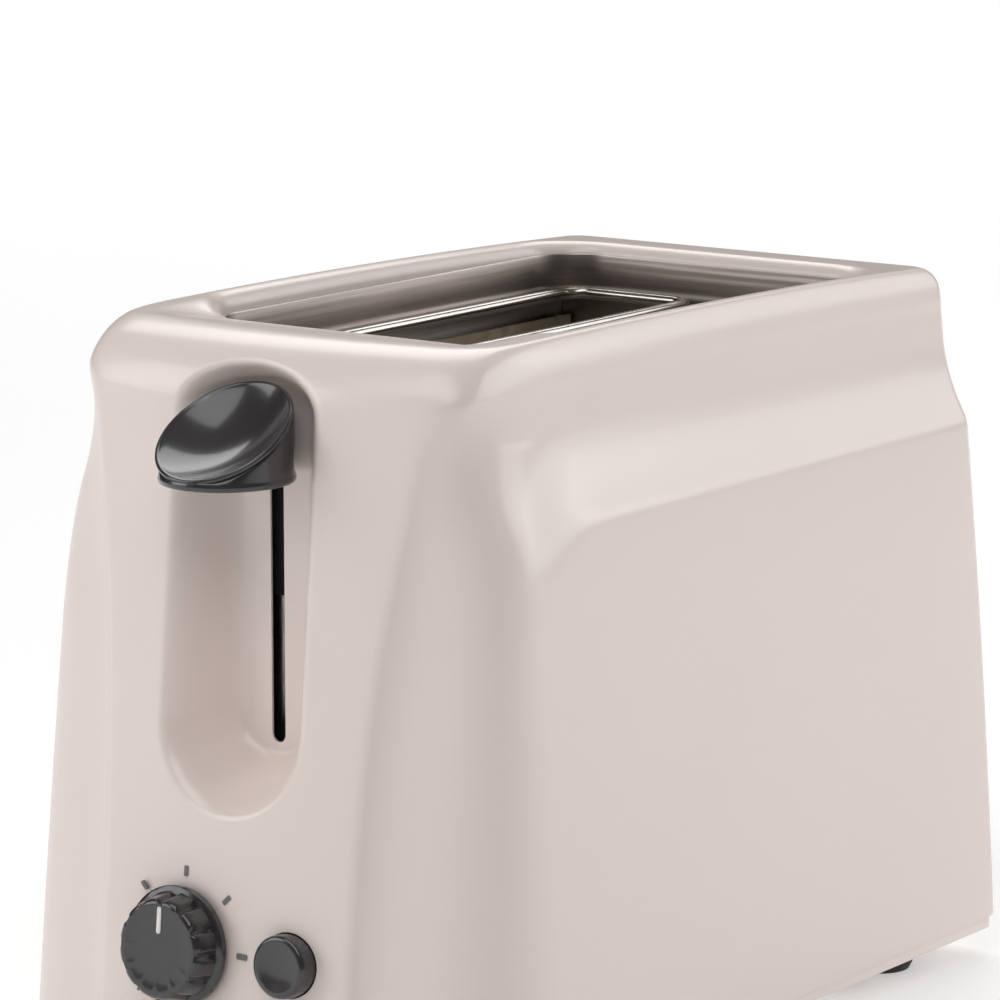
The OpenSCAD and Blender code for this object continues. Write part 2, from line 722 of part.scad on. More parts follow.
module circuit_board() {
    color(BOARD)
    on_face(0, dial_z) translate([0, 0, pcb_back]) difference() {
        translate([-34, -22, 0]) cube([68, 46, pcb_t]);
        for (p = board_spots)
            translate([p[0], p[1], -1]) cylinder(r = 1.3, h = 4, $fn = 20);
    }
}
module board_screws() {
    color(STEEL)
    on_face(0, dial_z)
        for (p = board_spots) translate([p[0], p[1], pcb_back]) screw(8, 1);
}
module board_components() {
    color(BLACK)
    on_face(0, dial_z) translate([0, 0, pcb_back + pcb_t]) {
        translate([-2, 12, 0]) cube([14, 7, 4]);
        translate([17, 14, 0]) cylinder(r = 3.2, h = 9, $fn = 24);
        translate([-22, 15, 0]) cylinder(r = 2.6, h = 7, $fn = 24);
        for (i = [0:3]) translate([4 + 5 * i, -16, 0]) cube([2.4, 6, 2.2]);
    }
}
shaft_r = 3;
bush_floor = 2;
module browning_potentiometer() {
    color(BLUE)
    on_face(dial_x, dial_z) translate([0, 0, pcb_back + pcb_t]) difference() {
        union() {
            translate([-8, -9, 0]) cube([16, 18, 6.4]);
            cylinder(r = 4, h = 12, $fn = 32);
        }
        translate([0, 0, bush_floor]) cylinder(r = shaft_r + 0.05, h = 12, $fn = 48);
    }
}
module potentiometer_shaft() {
    color(NYLON)
    on_face(dial_x, dial_z) translate([0, 0, pcb_back + pcb_t + bush_floor + gap])
        cylinder(r = shaft_r, h = dial_bore - gap - pcb_back - pcb_t - bush_floor, $fn = 48);
}
dial_low = 1.2;
dial_skirt = 2.2;
dial_top = 9.3;
dial_bore = 6;
module browning_dial() {
    color(KNOB)
    on_face(dial_x, dial_z) difference() {
        union() {
            translate([0, 0, dial_low]) cylinder(d = dial_d, h = dial_skirt, $fn = 64);
            translate([0, 0, dial_low + dial_skirt]) cylinder(r1 = dial_d / 2 - 1.5,
                r2 = dial_d / 2 - 3, h = dial_top - dial_low - dial_skirt, $fn = 64);
        }
        cylinder(r = shaft_r + 0.02, h = dial_bore, $fn = 48);
        // finger grooves around the grip
        for (a = [15:30:345]) rotate(a) translate([dial_d / 2 - 1.2, 0, dial_low + dial_skirt])
            cylinder(r = 1.6, h = 10, $fn = 20);
        // groove of the pointer
        translate([-0.7, 4, dial_top - 0.6]) cube([1.4, 9, 2]);
    }
}
module cancel_switch() {
    color(BLACK)
    on_face(button_x, dial_z) translate([0, 0, pcb_back + pcb_t]) {
        translate([-6, -6, 0]) cube([12, 12, 5]);
        translate([0, 0, 5]) cylinder(r = 2.5, h = 4, $fn = 24);
    }
}
button_back = -2.5;
button_front = 2.2;
module cancel_button() {
    color(KNOB)
    on_face(button_x, dial_z) {
        translate([0, 0, -9.7]) cylinder(r = 3, h = 8, $fn = 32);
        translate([0, 0, button_back])
            cylinder(r = button_d / 2, h = button_front - button_back, $fn = 48);
        translate([0, 0, button_front])
            cylinder(r1 = button_d / 2, r2 = button_d / 2 - 1.2, h = 1.2, $fn = 48);
    }
}

module power_switch() {
    color(BLACK)
    translate([-44, plate_y - 10, pan_top_z]) difference() {
        cube([13, 14, 22]);
        translate([2, 2, 12]) cube([9, 10, 12]);
    }
}
module switch_contacts() {
    color(COPPER)
    for (x = [-41, -35.4])
        translate([x, plate_y - 6, pan_top_z + 12]) {
            cube([1.2, 6, 12]);
            translate([0.6, 3, 12]) cylinder(r = 1.6, h = 1.4, $fn = 20);
        }
}

// ---------- crumb tray, inlet and wiring ----------
tray_t = 0.8;
tray_h = 6;
handle_t = 4;
module crumb_tray() {
    len = tray_back - tray_front;
    color(TIN)
    translate([-tray_half, tray_front, tray_z]) difference() {
        cube([2 * tray_half, len, tray_h]);
        translate([tray_t, tray_t, tray_t])
            cube([2 * (tray_half - tray_t), len - 2 * tray_t, tray_h]);
    }
}
module tray_handle() {
    color(SHELL)
    translate([-tray_half - 1, tray_back, tray_z]) difference() {
        cube([2 * tray_half + 2, handle_t, 10.4]);
        // finger recess
        translate([tray_half + 1 - 18, 1.6, -1]) cube([36, handle_t, 6.5]);
    }
}
module inlet_gland() {
    color(RUBBER)
    translate([inlet_spot[0], inlet_spot[1], 0]) difference() {
        union() {
            translate([0, 0, pan_low_z - 1.4]) cylinder(r = inlet_d / 2 + 3, h = 1.4, $fn = 48);
            translate([0, 0, pan_low_z]) cylinder(r = inlet_d / 2 + 1.45, h = pan_t, $fn = 48);
            translate([0, 0, pan_top_z]) cylinder(r = inlet_d / 2 + 2.6, h = 1.6, $fn = 48);
        }
        translate([0, 0, pan_low_z - 3]) cylinder(r = inlet_d / 2, h = 12, $fn = 48);
    }
}
module terminal_block() {
    color(NYLON)
    translate([54, 36, pan_top_z]) difference() {
        cube([12, 22, 12]);
        for (i = [0:2]) translate([6, 4 + 7 * i, 6]) cylinder(r = 2, h = 10, $fn = 24);
    }
}
// insulated leads from the terminals along the side wall to the switch end
lead_r = 1.3;
module power_leads() {
    color(SLEEVE)
    for (i = [0:1])
        let(x = 56 + 3.4 * i, z = 24 + 4 * i)
        wire([[60, 40 + 7 * i, pan_top_z + 13], [60, 39 + 7 * i, z], [60 - i, 34 + 4 * i, z],
            [x, 24, z], [x, -52, z], [x - 3, -64, z], [46, -74 - 4 * i, z]], lead_r, 8);
}

outer_shell();
base_pan();
tray_runners();
foot_front_left();
foot_front_right();
foot_rear_left();
foot_rear_right();
base_screws();
well_liner();
front_end_plate();
rear_end_plate();
left_reflector();
right_reflector();
left_heater_board();
centre_heater_board();
right_heater_board();
left_heater_ribbon();
centre_heater_ribbon();
right_heater_ribbon();
left_outer_guide();
left_inner_guide();
right_inner_guide();
right_outer_guide();
plate_screws();
guide_rod();
rod_bracket();
rod_bumper();
slider_block();
carriage_plate();
lever_arm();
lever_knob();
left_bread_lifter();
right_bread_lifter();
lift_spring();
armature_plate();
magnet_frame();
magnet_coil();
circuit_board();
board_screws();
board_components();
browning_potentiometer();
potentiometer_shaft();
browning_dial();
cancel_switch();
cancel_button();
power_switch();
switch_contacts();
crumb_tray();
tray_handle();
inlet_gland();
terminal_block();
power_leads();
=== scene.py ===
"""Two-slot pop-up toaster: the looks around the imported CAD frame. Lengths below are millimetres
unless a name ends in _m; meshes are scaled to metres when they are made."""
import json
import math

import bmesh
import bpy
import numpy as np
from mathutils import Matrix, Vector

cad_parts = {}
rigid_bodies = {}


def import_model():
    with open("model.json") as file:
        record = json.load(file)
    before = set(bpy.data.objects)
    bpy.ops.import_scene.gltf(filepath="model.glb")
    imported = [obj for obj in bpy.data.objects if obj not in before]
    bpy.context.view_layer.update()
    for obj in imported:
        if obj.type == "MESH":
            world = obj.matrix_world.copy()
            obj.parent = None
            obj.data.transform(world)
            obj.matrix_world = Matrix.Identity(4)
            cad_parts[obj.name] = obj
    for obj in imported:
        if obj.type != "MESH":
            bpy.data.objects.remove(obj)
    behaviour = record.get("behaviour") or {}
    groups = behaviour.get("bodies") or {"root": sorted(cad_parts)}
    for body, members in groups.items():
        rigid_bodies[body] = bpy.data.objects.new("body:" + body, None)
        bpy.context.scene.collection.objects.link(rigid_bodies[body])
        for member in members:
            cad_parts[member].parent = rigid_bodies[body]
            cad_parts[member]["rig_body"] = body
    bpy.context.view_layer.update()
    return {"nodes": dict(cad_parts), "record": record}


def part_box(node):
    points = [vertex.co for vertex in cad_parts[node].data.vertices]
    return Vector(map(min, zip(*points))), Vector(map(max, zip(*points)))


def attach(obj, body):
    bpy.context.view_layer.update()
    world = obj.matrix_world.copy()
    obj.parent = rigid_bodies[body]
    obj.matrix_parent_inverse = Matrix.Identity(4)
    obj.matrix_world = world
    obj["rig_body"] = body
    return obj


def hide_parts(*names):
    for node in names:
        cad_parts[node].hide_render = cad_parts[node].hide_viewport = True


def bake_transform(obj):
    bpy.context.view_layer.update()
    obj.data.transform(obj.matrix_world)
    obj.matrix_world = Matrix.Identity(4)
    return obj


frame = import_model()

MM = 0.001
WELD_M = 1e-7
HOUSING = "housing"
CARRIAGE = "lift_carriage"


# ---------- small helpers ----------
def corner(node, side):
    """Lowest (0) or highest (1) corner of a CAD node, in mm."""
    return np.array(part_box(node)[side]) / MM


def lerp(a, b, t):
    return a + (b - a) * t


def smooth(t):
    t = np.clip(t, 0.0, 1.0)
    return t * t * (3 - 2 * t)


def make_object(name, verts, faces, sharp=None):
    mesh = bpy.data.meshes.new(name)
    mesh.from_pydata([tuple(v) for v in np.asarray(verts, float) * MM], [], faces)
    obj = bpy.data.objects.new(name, mesh)
    bpy.context.scene.collection.objects.link(obj)
    clean(obj, sharp)
    return obj


def clean(obj, sharp=None):
    """Weld doubles, face every wall outwards, and shade smooth up to a sharp angle in degrees."""
    bm = bmesh.new()
    bm.from_mesh(obj.data)
    bmesh.ops.remove_doubles(bm, verts=bm.verts, dist=WELD_M)
    bmesh.ops.dissolve_degenerate(bm, edges=bm.edges, dist=WELD_M)
    bmesh.ops.recalc_face_normals(bm, faces=bm.faces)
    bm.to_mesh(obj.data)
    bm.free()
    shade(obj, sharp)


def shade(obj, sharp):
    obj.data.polygons.foreach_set("use_smooth", [True] * len(obj.data.polygons))
    if sharp:
        obj.data.set_sharp_from_angle(angle=math.radians(sharp))
    obj.data.update()


def ring_mesh(name, rings, closed=False, sharp=None):
    """Loft rings of equal point counts: capped at its ends, or closed from last ring to first."""
    m, n = len(rings), len(rings[0])
    faces = []
    for j in range(m if closed else m - 1):
        a, b = j * n, ((j + 1) % m) * n
        faces += [(a + i, a + (i + 1) % n, b + (i + 1) % n, b + i) for i in range(n)]
    if not closed:
        faces += [tuple(range(n))[::-1], tuple(range((m - 1) * n, m * n))]
    return make_object(name, np.concatenate(rings), faces, sharp)


def baked(obj, *modifiers):
    """Apply modifiers, given as (type, settings), to the mesh."""
    for kind, settings in modifiers:
        mod = obj.modifiers.new(kind, kind)
        for key, value in settings.items():
            setattr(mod, key, value)
    bpy.context.view_layer.update()
    graph = bpy.context.evaluated_depsgraph_get()
    mesh = bpy.data.meshes.new_from_object(obj.evaluated_get(graph))
    obj.modifiers.clear()
    obj.data = mesh


def combine(obj, others, operation):
    """Boolean of obj with several tools at once; the tools are used up."""
    tool = joined("tools", others)
    baked(obj, ("BOOLEAN", {"operation": operation, "solver": "EXACT", "object": tool}))
    bpy.data.objects.remove(tool)


def joined(name, parts):
    """One object out of several separate closed meshes."""
    bm = bmesh.new()
    for part in parts:
        part.data.transform(part.matrix_world)
        bm.from_mesh(part.data)
        bpy.data.objects.remove(part)
    mesh = bpy.data.meshes.new(name)
    bm.to_mesh(mesh)
    bm.free()
    obj = bpy.data.objects.new(name, mesh)
    bpy.context.scene.collection.objects.link(obj)
    bpy.context.view_layer.update()
    return obj


def circle(r, n, b=None):
    a = np.arange(n) * 2 * math.pi / n
    return np.stack([r * np.cos(a), (b or r) * np.sin(a)], 1)


def at_height(points, z):
    return np.column_stack([points, np.full(len(points), float(z))])


def turned(name, profile, n=64, sharp=None, shape=None):
    """Solid of revolution about Z from (r, z) pairs, bottom to top; shape changes the radius."""
    rings = []
    for r, z in profile:
        ring = circle(max(r, 0.01), n)
        if shape is not None:
            ring = ring * shape(np.arctan2(ring[:, 1], ring[:, 0]), z)[:, None]
        rings.append(at_height(ring, z))
    return ring_mesh(name, rings, sharp=sharp)


def block(lo, hi):
    x, y, z = zip(lo, hi)
    plan = [(x[0], y[0]), (x[1], y[0]), (x[1], y[1]), (x[0], y[1])]
    return ring_mesh("block", [at_height(np.array(plan, float), h) for h in z])


def rounded_rect(half_x, half_y, r, per_corner=12):
    points = []
    for k, (sx, sy) in enumerate([(1, 1), (-1, 1), (-1, -1), (1, -1)]):
        for i in range(per_corner + 1):
            a = math.pi / 2 * (k + i / per_corner)
            x = sx * (half_x - r) + r * math.cos(a)
            y = sy * (half_y - r) + r * math.sin(a)
            points.append((x, y))
    return np.array(points)


def tube(name, path, r, sides, closed=False):
    """Round wire along a path, each ring square to it, turned as little as possible."""
    path = np.asarray(path, float)
    n = len(path)
    ahead = np.roll(path, -1, 0) if closed else path[np.minimum(np.arange(n) + 1, n - 1)]
    behind = np.roll(path, 1, 0) if closed else path[np.maximum(np.arange(n) - 1, 0)]
    ways = ahead - behind
    ways /= np.linalg.norm(ways, axis=1)[:, None]
    u = np.cross(ways[0], (0, 0, 1) if abs(ways[0][2]) < 0.9 else (1, 0, 0))
    rings = []
    for p, way in zip(path, ways):
        u = u - way * (u @ way)
        u /= np.linalg.norm(u)
        v = np.cross(way, u)
        a = np.arange(sides) * 2 * math.pi / sides
        rings.append(p + r * (np.outer(np.cos(a), u) + np.outer(np.sin(a), v)))
    return ring_mesh(name, rings, closed=closed)


# ---------- materials ----------
MIX_A, MIX_B, MIX_OUT = 6, 7, 2  # the colour sockets of a Mix node


class Finish:
    """A node material on one Principled shader, with noise-driven colour, roughness and bump."""

    def __init__(self, name, colour, rough, metal=0.0, **shader):
        self.material = bpy.data.materials.new(name)
        self.material.use_nodes = True
        self.tree = self.material.node_tree
        self.shader = self.tree.nodes["Principled BSDF"]
        self.colour = (*colour, 1.0)
        self.shader.inputs["Base Color"].default_value = self.colour
        self.shader.inputs["Roughness"].default_value = rough
        self.shader.inputs["Metallic"].default_value = metal
        for key, value in shader.items():
            self.shader.inputs[key.replace("_", " ")].default_value = value
        self.place = self.node("ShaderNodeTexCoord").outputs["Object"]
        self.bump = None
        self.colour_from = None

    def node(self, kind, **settings):
        made = self.tree.nodes.new(kind)
        for key, value in settings.items():
            setattr(made, key, value)
        return made

    def link(self, a, b):
        self.tree.links.new(a, b)

    def noise(self, scale, detail=3.0, stretch=(1, 1, 1)):
        mapping = self.node("ShaderNodeMapping")
        mapping.inputs["Scale"].default_value = stretch
        texture = self.node("ShaderNodeTexNoise")
        texture.inputs["Scale"].default_value = scale
        texture.inputs["Detail"].default_value = detail
        self.link(self.place, mapping.inputs["Vector"])
        self.link(mapping.outputs["Vector"], texture.inputs["Vector"])
        return texture.outputs["Fac"]

    def edges(self, low=0.52, high=0.6):
        """1 on worn outer edges, 0 elsewhere."""
        geometry = self.node("ShaderNodeNewGeometry")
        return self.ranged(geometry.outputs["Pointiness"], low, high, 0.0, 1.0)

    def ranged(self, source, low, high, to_low, to_high):
        node = self.node("ShaderNodeMapRange")
        for i, value in enumerate((low, high, to_low, to_high), 1):
            node.inputs[i].default_value = value
        self.link(source, node.inputs[0])
        return node.outputs[0]

    def tint(self, source, colour, low=0.35, high=0.65, amount=1.0):
        """Mix towards a second colour where source is high."""
        mix = self.node("ShaderNodeMix", data_type="RGBA")
        self.link(self.ranged(source, low, high, 0.0, amount), mix.inputs["Factor"])
        if self.colour_from is None:
            mix.inputs[MIX_A].default_value = self.colour
        else:
            self.link(self.colour_from, mix.inputs[MIX_A])
        mix.inputs[MIX_B].default_value = (*colour, 1.0)
        self.colour_from = mix.outputs[MIX_OUT]
        self.link(self.colour_from, self.shader.inputs["Base Color"])

    def roughen(self, source, low, high):
        self.link(self.ranged(source, 0.3, 0.7, low, high), self.shader.inputs["Roughness"])

    def dent(self, source, strength, distance_m):
        node = self.node("ShaderNodeBump")
        node.inputs["Strength"].default_value = strength
        node.inputs["Distance"].default_value = distance_m
        self.link(source, node.inputs["Height"])
        if self.bump is not None:
            self.link(self.bump, node.inputs["Normal"])
        self.bump = node.outputs["Normal"]
        self.link(self.bump, self.shader.inputs["Normal"])


def moulded(name, colour, tint, rough, grain=900.0, depth_m=0.00002, **shader):
    """Moulded plastic: faint mottling, fine surface texture, slightly polished edges."""
    f = Finish(name, colour, rough, **shader)
    f.tint(f.noise(14.0, 1.0), tint, 0.3, 0.7, 0.4)
    polished = tuple(min(1, c * 1.12 + 0.01) for c in colour)
    f.tint(f.edges(0.54, 0.64), polished, 0, 1, 0.35)
    f.roughen(f.noise(35.0, 4.0), rough * 0.96, rough * 1.04)
    f.dent(f.noise(grain, 2.0), 0.10, depth_m)
    f.dent(f.noise(60.0, 1.0), 0.04, 0.0002)
    return f.material


def sheet_metal(name, colour, tint, rough, stretch, scale=60.0, wear=(0.75, 0.73, 0.70),
                **shader):
    """Rolled or drawn metal with streaks along one way and brighter edges."""
    f = Finish(name, colour, rough, 1.0, **shader)
    f.tint(f.noise(scale, 5.0, stretch), tint, 0.35, 0.7, 0.7)
    f.tint(f.noise(18.0, 3.0), tint, 0.5, 0.75, 0.5)
    f.tint(f.edges(), wear, 0, 1, 0.6)
    f.roughen(f.noise(scale, 4.0, stretch), rough * 0.8, rough * 1.3)
    f.dent(f.noise(scale, 6.0, stretch), 0.12, 0.00005)
    return f.material


WHITE = moulded("white_plastic", (0.795, 0.695, 0.648), (0.775, 0.672, 0.620), 0.30,
                Coat_Weight=0.25, Coat_Roughness=0.12)
CHARCOAL = moulded("charcoal_plastic", (0.034, 0.031, 0.034), (0.042, 0.037, 0.040), 0.20,
                   500.0, Coat_Weight=0.4, Coat_Roughness=0.08)
BLACK = moulded("black_plastic", (0.030, 0.030, 0.033), (0.045, 0.045, 0.048), 0.45)
NYLON = moulded("nylon", (0.74, 0.71, 0.63), (0.66, 0.62, 0.52), 0.42, Subsurface_Weight=0.1)
RUBBER = moulded("rubber", (0.022, 0.022, 0.023), (0.045, 0.043, 0.042), 0.75, 1500.0,
                 0.00006)
SLEEVE = moulded("lead_sleeve", (0.42, 0.06, 0.045), (0.33, 0.05, 0.04), 0.5)
PRINT = moulded("printed_marks", (0.16, 0.15, 0.15), (0.20, 0.19, 0.18), 0.5)
INLAY = moulded("pointer_inlay", (0.80, 0.78, 0.76), (0.74, 0.72, 0.70), 0.4)
WELL = sheet_metal("well_metal", (0.235, 0.200, 0.180), (0.16, 0.135, 0.122), 0.38,
                   (0.15, 0.15, 9.0), 90.0, Anisotropic=0.4)
# Painted highlight: the rolled lips are the same sheet as the well's tub, but their colour is about
# twice as light to stand in for the bright highlight along them; only their lower roughness is real
# shine.
HIGHLIT_LIP = sheet_metal("rolled_lip_painted_highlight", (0.50, 0.47, 0.44), (0.38, 0.35, 0.32), 0.20, (6.0, 0.4, 6.0))
TIN = sheet_metal("tinned_sheet", (0.42, 0.39, 0.36), (0.30, 0.275, 0.25), 0.36, (0.3, 0.3, 6.0))
STEEL = sheet_metal("plain_steel", (0.46, 0.45, 0.44), (0.34, 0.33, 0.31), 0.32, (4.0, 0.5, 4.0))
# Painted shade: near-black steel for the lever arm, standing in for the shade in the narrow gap
# beside the knob rather than a known finish of its own; the lighter edges are wear.
GAP_SHADE_STEEL = sheet_metal("gap_shade_steel", (0.060, 0.057, 0.055), (0.10, 0.09, 0.08), 0.42,
                         (4.0, 0.5, 4.0), wear=(0.30, 0.28, 0.26))
RIBBON = sheet_metal("resistance_ribbon", (0.20, 0.165, 0.14), (0.12, 0.09, 0.08), 0.45,
                     (1.0, 3.0, 9.0))
COPPER = sheet_metal("copper", (0.56, 0.22, 0.10), (0.40, 0.14, 0.07), 0.3, (1.0, 1.0, 30.0),
                     120.0, wear=(0.85, 0.45, 0.28))


def mica_finish():
    f = Finish("mica_board", (0.36, 0.28, 0.18), 0.5, Specular_IOR_Level=0.7)
    f.tint(f.noise(50.0, 6.0, (1, 1, 0.6)), (0.48, 0.40, 0.28), 0.4, 0.6, 0.8)
    f.tint(f.noise(220.0, 3.0), (0.25, 0.18, 0.11), 0.55, 0.7, 0.6)
    f.roughen(f.noise(80.0), 0.35, 0.65)
    f.dent(f.noise(150.0, 5.0), 0.25, 0.00008)
    return f.material


def laminate_finish():
    f = Finish("board_laminate", (0.035, 0.13, 0.055), 0.35, Coat_Weight=0.3)
    f.tint(f.noise(700.0, 2.0, (1, 0.1, 1)), (0.05, 0.17, 0.07), 0.4, 0.6, 0.6)
    f.tint(f.noise(700.0, 2.0, (0.1, 1, 1)), (0.03, 0.10, 0.04), 0.4, 0.6, 0.6)
    f.dent(f.noise(900.0, 2.0, (1, 0.1, 1)), 0.15, 0.00003)
    return f.material


MICA = mica_finish()
LAMINATE = laminate_finish()


def dress(obj, *materials):
    obj.data.materials.clear()
    for material in materials:
        obj.data.materials.append(material)


def add_piece(obj, body, slot, material, *replaced):
    dress(obj, material)
    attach(obj, body)
    if replaced:
        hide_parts(*replaced)


# ---------- outer shell ----------
# d is the depth below the crest, w the inward offset of the inner skin, x and y as in the frame,
# with y counted from the middle of the well
CREST_Z = 183.5
FOOT_Z = 10.0
DEPTH = CREST_Z - FOOT_Z
WELL_Y = 21.5
WALL = 2.6
# lever end and back: reach from the middle of the well, slope, top rounding, bow or corner
END_REACH, END_RAKE, FALL_R, END_BOW = 118.6, 0.1, 15.0, 0.002
BACK_REACH, BACK_RAKE, BACK_SHOULDER, BACK_CORNER = 97.0, 0.02, 6.0, 5.0
# the top's fall towards both ends
CROWN, CROWN_Y, CROWN_SPAN = 2.6, -40.0, 130.0
# raised band of the lever end: half width, and how it widens towards the top
BAND_FOOT, BAND_SPREAD, BAND_FLARE, BAND_INSET = 36.0, 11.2, 9.0, 4.6
SPREAD_FADE_D, FLARE_FADE_D = 60.0, 15.0
# side: crest, collar, flare down to the pad's ridge, pad
SHOULDER_D, CREST_HALF, COLLAR_HALF, COLLAR_RAKE = 11.5, 54.6, 58.8, 0.09
FLARE_TOP_D, FLARE_OUT, PAD_TOP_D, PAD_RAKE, PAD_EASE = 19.5, 5.3, 42.0, 0.0925, 0.00018
# ridge: how far its rounding reaches, and how it sinks at the front end of the flank
RIDGE_REACH, RIDGE_END_REACH, RIDGE_SAMPLES = 1.8, 7.0, 13
SINK, SINK_RUN, SINK_FROM_D, SINK_OVER_D = 5.0, 24.0, 15, 20
# valley between the band and the flank
SOFT_OVER_D, SOFT_PAD_D, SOFT_INSET = 60, 78, 0.8
TURN_Y, TURN_SHIFT, TURN_OVER_D = -80, 18, 44
FILLET_TOP, FILLET_LOW, FILLET_OVER_D, FILLET_INSIDE = 7.0, 2.2, 30, 0.6
CURVE_SAMPLES = 200
# thumb scoop
SCOOP_HALF, SCOOP_FOOT_D, SCOOP_FLOOR, SCOOP_TOP_D, SCOOP_TOP_R = 22.0, 112.5, -108.4, 17.0, 13.0
SCOOP_LOW_D = SCOOP_FOOT_D - SCOOP_HALF
SCOOP_FLAT, SCOOP_SIDE, SCOOP_SPAN = 0.42, 0.58, 24
# opening: half sizes, corner, lip, and the roll of the top in front of it
WELL_HALF_X, WELL_HALF_Y, WELL_R = 50.0, 77.1, 15.0
LIP_R, LIP_FOOT = 4.0, 6.0
FRONT_ROLL, ROLL_Y, ROLL_RUN_Y, ROLL_HALF_X, ROLL_FADE_X = 3.2, -101, 22, 38, 12


def quarter(d, r):
    return 1.0 if d >= r else math.sqrt(1 - ((r - d) / r) ** 2)


def end_y(d):
    return -END_REACH - END_RAKE * d + FALL_R * (1 - quarter(d, FALL_R))


def collar(d):
    flare = max(0.0, (d - FLARE_TOP_D) / (PAD_TOP_D - FLARE_TOP_D))
    return COLLAR_HALF + COLLAR_RAKE * (d - SHOULDER_D) + FLARE_OUT * flare**2


def pad(d):
    past = d - PAD_TOP_D
    return collar(PAD_TOP_D) + PAD_RAKE * past - PAD_EASE * past**2


def side_half(d):
    if d < SHOULDER_D:
        return lerp(CREST_HALF, COLLAR_HALF, quarter(d, SHOULDER_D))
    return collar(d) if d < PAD_TOP_D else pad(d)


def eased_side(d, reach=RIDGE_REACH):
    """The side wall with its crisp ridge eased over a few millimetres."""
    if abs(d - PAD_TOP_D) > 3 * reach:
        return side_half(d)
    steps = np.linspace(-reach, reach, RIDGE_SAMPLES)
    return float(np.mean([side_half(d + step) for step in steps]))


def flank_half(d, y, turn_y):
    """Half width along the flank: towards its front end the ridge sinks and softens."""
    along = smooth((y - turn_y) / SINK_RUN)
    sink = SINK * (1 - along) ** 2 * smooth((d - SINK_FROM_D) / SINK_OVER_D)
    return eased_side(d - sink, lerp(RIDGE_END_REACH, RIDGE_REACH, along))


def soft_half(d):
    """The side without its ridge, which the valley's curve leans on."""
    if d < FLARE_TOP_D:
        return side_half(d)
    ease = smooth((d - FLARE_TOP_D) / SOFT_OVER_D)
    return lerp(side_half(FLARE_TOP_D), pad(max(d, SOFT_PAD_D)) - SOFT_INSET, ease)


def scoop(x, d, w):
    """How far the thumb scoop goes in behind the lever end's face."""
    if d < SCOOP_TOP_D:
        r = np.hypot(x / SCOOP_HALF, (SCOOP_TOP_D - d) / SCOOP_TOP_R)
    else:
        r = np.hypot(x, max(0.0, d - SCOOP_LOW_D)) / SCOOP_HALF
    deep = np.maximum(0.0, SCOOP_FLOOR - end_y(d) - END_BOW * x**2)
    share = r * SCOOP_HALF / (SCOOP_HALF + w)
    return deep * (1 - smooth((share - SCOOP_FLAT) / SCOOP_SIDE))


def bezier(p, t):
    t = np.asarray(t)[:, None]
    u = 1 - t
    return u**3 * p[0] + 3 * u**2 * t * p[1] + 3 * u * t**2 * p[2] + t**3 * p[3]


# points of a half ring, span by span, and how the side's points crowd towards the front
COUNTS = {"scoop": 40, "band": 10, "edge": 8, "valley": 20, "side": 22, "corner": 10, "back": 10}
SIDE_CROWDING = 1.7


def half_ring(d, w=0.0):
    """Right half of a level ring d below the crest, from the lever end's middle to the back's."""
    spread = BAND_SPREAD / (1 + (d / SPREAD_FADE_D) ** 3)
    flare = BAND_FLARE / (1 + (d / FLARE_FADE_D) ** 4)
    half = min(side_half(d) - BAND_INSET, BAND_FOOT + spread + flare)
    e = np.array([half - 0.6 * w, end_y(d) + END_BOW * half**2 + w])
    v, s = smooth((d - 8) / 60), smooth((d - 20) / 60)  # how far the valley has opened
    turn_y = TURN_Y - TURN_SHIFT * smooth(d / TURN_OVER_D)
    corner_half = flank_half(d, turn_y, turn_y) - w
    side = eased_side(d) - w
    p = np.array([e, e + [1.5 + 4.5 * v - 0.5 * w, 3 + 7 * v],
                  [soft_half(d) - w, e[1] + lerp(5, 2.5, s)], [corner_half, turn_y]])
    fillet = lerp(FILLET_TOP, FILLET_LOW, smooth(d / FILLET_OVER_D))
    fillet *= FILLET_INSIDE if w else 1.0
    samples = np.linspace(0, 1, CURVE_SAMPLES)
    steps = np.linalg.norm(np.diff(bezier(p, samples), axis=0), axis=1)
    cut = np.interp(fillet, np.concatenate([[0], np.cumsum(steps)]), samples)

    def front(x):
        return np.stack([x, end_y(d) + w + END_BOW * x**2 + scoop(x, d, w)], 1)

    parts = [front(np.linspace(0, SCOOP_SPAN, COUNTS["scoop"] + 1))]
    parts.append(front(np.linspace(SCOOP_SPAN, e[0] - fillet, COUNTS["band"] + 1))[1:])
    t = np.linspace(0, 1, COUNTS["edge"] + 1)[1:, None]
    a, b = parts[-1][-1], bezier(p, [cut])[0]
    parts.append((1 - t) ** 2 * a + 2 * (1 - t) * t * e + t**2 * b)
    parts.append(bezier(p, np.linspace(cut, 1, COUNTS["valley"] + 1)[1:]))
    back = BACK_REACH + BACK_RAKE * d - BACK_SHOULDER * (1 - quarter(d, BACK_SHOULDER)) - w
    along = np.linspace(0, 1, COUNTS["side"] + 1)[1:] ** SIDE_CROWDING
    y = lerp(turn_y, back - BACK_CORNER, along)
    parts.append(np.array([(flank_half(d, v, turn_y) - w, v) for v in y]))
    a = np.linspace(0, math.pi / 2, COUNTS["corner"] + 1)[1:]
    parts.append(np.stack([side - BACK_CORNER * (1 - np.cos(a)),
                           back - BACK_CORNER * (1 - np.sin(a))], 1))
    x = np.linspace(side - BACK_CORNER, 0, COUNTS["back"] + 1)[1:]
    parts.append(np.stack([x, np.full(len(x), back)], 1))
    return np.concatenate(parts)


